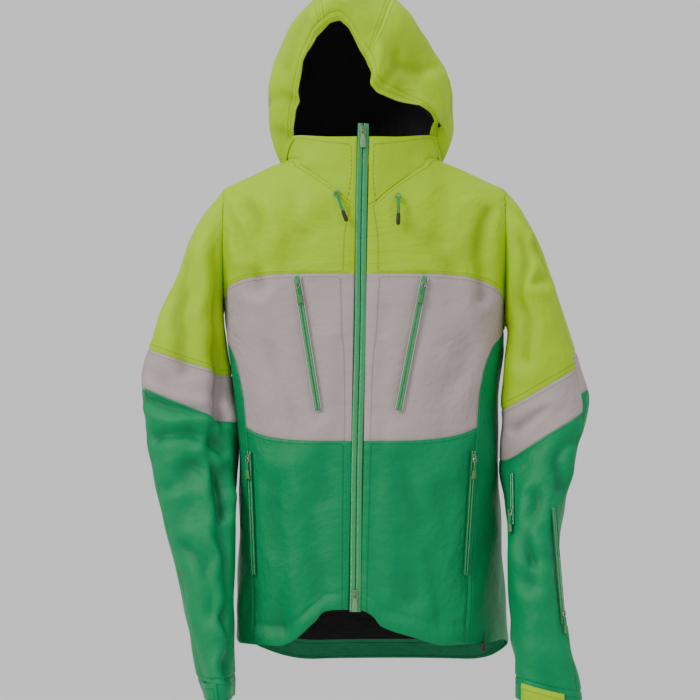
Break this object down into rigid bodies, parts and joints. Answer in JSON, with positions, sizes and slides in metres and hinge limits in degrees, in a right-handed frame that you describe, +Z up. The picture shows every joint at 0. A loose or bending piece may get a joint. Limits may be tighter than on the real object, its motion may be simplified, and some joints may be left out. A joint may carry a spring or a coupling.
{
  "type": "ski jacket",
  "caption": "Hooded three-colour ski jacket, zipped up and hanging by its neck loop, with two-way front zip, chest, hand and forearm zips, and jointed sleeves and hood.",
  "frame": {"origin": "middle of the flat underside of the hang loop inside the back of the neck", "axes": "+Z up, -Y out of the front, +X to the wearer's left"},
  "size_m": [0.6617, 0.3071, 1.064],
  "materials": {
    "lime_shell": "matte woven shell cloth",
    "grey_shell": "matte woven shell cloth",
    "green_shell": "matte woven shell cloth",
    "lining": "smooth black lining",
    "zip_tape": "coated water-repellent tape",
    "slider": "satin",
    "puller": "moulded",
    "cord": "braided",
    "cord_end": "matte",
    "loop_tape": "woven tape"
  },
  "bodies": {
    "root": {"yoke_front_right": "lime_shell", "chest_panel_right": "grey_shell", "front_lower_right": "green_shell", "side_panel_right": "green_shell", "yoke_front_left": "lime_shell", "chest_panel_left": "grey_shell", "front_lower_left": "green_shell", "side_panel_left": "green_shell", "yoke_back": "lime_shell", "back_panel": "grey_shell", "back_lower": "green_shell", "body_lining": "lining", "hem_facing": "green_shell", "collar_right": "lime_shell", "collar_left": "lime_shell", "main_zip_tape_right": "zip_tape", "main_zip_tape_left": "zip_tape", "storm_flap": "green_shell", "chest_zip_right_tape": "zip_tape", "hand_zip_right_tape": "zip_tape", "chest_zip_left_tape": "zip_tape", "hand_zip_left_tape": "zip_tape", "hang_loop": "loop_tape"},
    "hood": {"hood_side_right": "lime_shell", "hood_side_left": "lime_shell", "hood_centre": "lime_shell", "hood_brim": "lime_shell", "hood_lining": "lining"},
    "right_arm": {"sleeve_upper_right": "lime_shell", "sleeve_band_right": "grey_shell"},
    "right_forearm": {"sleeve_lower_right": "green_shell", "cuff_right": "green_shell"},
    "cuff_tab_right_body": {"cuff_tab_right": "green_shell"},
    "left_arm": {"sleeve_upper_left": "lime_shell", "sleeve_band_left": "grey_shell"},
    "left_forearm": {"sleeve_lower_left": "green_shell", "cuff_left": "green_shell", "sleeve_vent_zip_tape": "zip_tape", "sleeve_pocket_zip_tape": "zip_tape"},
    "cuff_tab_left_body": {"cuff_tab_left": "lime_shell"},
    "main_upper_slider_body": {"main_upper_slider": "slider"},
    "main_upper_puller_body": {"main_upper_puller": "puller"},
    "main_lower_slider_body": {"main_lower_slider": "slider"},
    "main_lower_puller_body": {"main_lower_puller": "puller"},
    "chest_zip_right_slider_body": {"chest_zip_right_slider": "slider"},
    "chest_zip_right_puller_body": {"chest_zip_right_puller": "puller"},
    "chest_zip_left_slider_body": {"chest_zip_left_slider": "slider"},
    "chest_zip_left_puller_body": {"chest_zip_left_puller": "puller"},
    "hand_zip_right_slider_body": {"hand_zip_right_slider": "slider"},
    "hand_zip_right_puller_body": {"hand_zip_right_puller": "puller"},
    "hand_zip_left_slider_body": {"hand_zip_left_slider": "slider"},
    "hand_zip_left_puller_body": {"hand_zip_left_puller": "puller"},
    "sleeve_vent_zip_slider_body": {"sleeve_vent_zip_slider": "slider"},
    "sleeve_vent_zip_puller_body": {"sleeve_vent_zip_puller": "puller"},
    "sleeve_pocket_zip_slider_body": {"sleeve_pocket_zip_slider": "slider"},
    "sleeve_pocket_zip_puller_body": {"sleeve_pocket_zip_puller": "puller"},
    "hood_cord_right_body": {"hood_cord_right": "cord", "cord_end_right": "cord_end"},
    "hood_cord_left_body": {"hood_cord_left": "cord", "cord_end_left": "cord_end"}
  },
  "joints": [
    {"name": "hood_fold", "type": "hinge", "parent": "root", "child": "hood", "pos_m": [0, 0.008, -0.02], "axis": [-1, 0, 0], "range_deg": [0, 74]},
    {"name": "right_shoulder_swing", "type": "hinge", "parent": "root", "child": "right_arm", "pos_m": [-0.20664, -0.03515, -0.074], "axis": [0, 1, 0], "range_deg": [0, 45]},
    {"name": "right_elbow_bend", "type": "hinge", "parent": "right_arm", "child": "right_forearm", "pos_m": [-0.25822, -0.11815, -0.385], "axis": [-0.9285, 0, 0.3714], "range_deg": [0, 100]},
    {"name": "right_cuff_tab_peel", "type": "hinge", "parent": "right_forearm", "child": "cuff_tab_right_body", "pos_m": [-0.20561, -0.22042, -0.7897], "axis": [-0.1049, 0.1906, 0.9761], "range_deg": [0, 100]},
    {"name": "left_shoulder_swing", "type": "hinge", "parent": "root", "child": "left_arm", "pos_m": [0.21086, -0.03515, -0.072], "axis": [0, -1, 0], "range_deg": [0, 45]},
    {"name": "left_elbow_bend", "type": "hinge", "parent": "left_arm", "child": "left_forearm", "pos_m": [0.26944, -0.11815, -0.428], "axis": [-0.848, 0, -0.53], "range_deg": [0, 100]},
    {"name": "left_cuff_tab_peel", "type": "hinge", "parent": "left_forearm", "child": "cuff_tab_left_body", "pos_m": [0.22761, -0.19444, -0.79238], "axis": [-0.0119, -0.1944, -0.9809], "range_deg": [0, 100]},
    {"name": "main_upper_slide", "type": "slide", "parent": "root", "child": "main_upper_slider_body", "axis": [-0.018, -0.0539, -0.9984], "range_m": [0, 0.42]},
    {"name": "main_upper_puller_flip", "type": "hinge", "parent": "main_upper_slider_body", "child": "main_upper_puller_body", "pos_m": [0.00026, -0.11602, 0.01453], "axis": [-0.9998, 0, 0.018], "range_deg": [0, 150]},
    {"name": "main_lower_slide", "type": "slide", "parent": "root", "child": "main_lower_slider_body", "axis": [0.018, 0.0539, 0.9984], "range_m": [0, 0.2]},
    {"name": "main_lower_puller_flip", "type": "hinge", "parent": "main_lower_slider_body", "child": "main_lower_puller_body", "pos_m": [-0.01184, -0.15231, -0.65752], "axis": [-0.9998, 0, 0.018], "range_deg": [0, 150]},
    {"name": "chest_zip_right_slide", "type": "slide", "parent": "root", "child": "chest_zip_right_slider_body", "axis": [0.1592, -0.0597, -0.9854], "range_m": [0, 0.176]},
    {"name": "chest_zip_right_puller_flip", "type": "hinge", "parent": "chest_zip_right_slider_body", "child": "chest_zip_right_puller_body", "pos_m": [-0.09541, -0.12979, -0.20621], "axis": [-0.9838, 0.0738, -0.1634], "range_deg": [0, 150]},
    {"name": "chest_zip_left_slide", "type": "slide", "parent": "root", "child": "chest_zip_left_slider_body", "axis": [-0.1933, -0.0593, -0.9793], "range_m": [0, 0.176]},
    {"name": "chest_zip_left_puller_flip", "type": "hinge", "parent": "chest_zip_left_slider_body", "child": "chest_zip_left_puller_body", "pos_m": [0.08838, -0.12979, -0.20618], "axis": [-0.9774, -0.0747, 0.1975], "range_deg": [0, 150]},
    {"name": "hand_zip_right_slide", "type": "slide", "parent": "root", "child": "hand_zip_right_slider_body", "axis": [0.042, -0.0779, -0.9961], "range_m": [0, 0.16]},
    {"name": "hand_zip_right_puller_flip", "type": "hinge", "parent": "hand_zip_right_slider_body", "child": "hand_zip_right_puller_body", "pos_m": [-0.16906, -0.11216, -0.46141], "axis": [-0.7761, 0.6253, -0.0817], "range_deg": [0, 150]},
    {"name": "hand_zip_left_slide", "type": "slide", "parent": "root", "child": "hand_zip_left_slider_body", "axis": [-0.067, -0.0778, -0.9947], "range_m": [0, 0.16]},
    {"name": "hand_zip_left_puller_flip", "type": "hinge", "parent": "hand_zip_left_slider_body", "child": "hand_zip_left_puller_body", "pos_m": [0.16326, -0.11269, -0.46142], "axis": [-0.8485, -0.5202, 0.0978], "range_deg": [0, 150]},
    {"name": "sleeve_vent_zip_slide", "type": "slide", "parent": "left_forearm", "child": "sleeve_vent_zip_slider_body", "axis": [0.0173, 0.3764, 0.9263], "range_m": [0, 0.05]},
    {"name": "sleeve_vent_zip_puller_flip", "type": "hinge", "parent": "sleeve_vent_zip_slider_body", "child": "sleeve_vent_zip_puller_body", "pos_m": [0.2132, -0.13175, -0.53916], "axis": [-0.5692, 0.7654, -0.3004], "range_deg": [0, 150]},
    {"name": "sleeve_pocket_zip_slide", "type": "slide", "parent": "left_forearm", "child": "sleeve_pocket_zip_slider_body", "axis": [-0.0673, 0.1772, 0.9819], "range_m": [0, 0.138]},
    {"name": "sleeve_pocket_zip_puller_flip", "type": "hinge", "parent": "sleeve_pocket_zip_slider_body", "child": "sleeve_pocket_zip_puller_body", "pos_m": [0.28705, -0.17923, -0.67881], "axis": [-0.68, -0.7282, 0.0848], "range_deg": [0, 150]},
    {"name": "hood_cord_right_swing", "type": "hinge", "parent": "root", "child": "hood_cord_right_body", "pos_m": [-0.038, -0.12, -0.077], "axis": [-1, 0, 0], "range_deg": [0, 60]},
    {"name": "hood_cord_left_swing", "type": "hinge", "parent": "root", "child": "hood_cord_left_body", "pos_m": [0.051, -0.12, -0.081], "axis": [-1, 0, 0], "range_deg": [0, 60]}
  ]
}
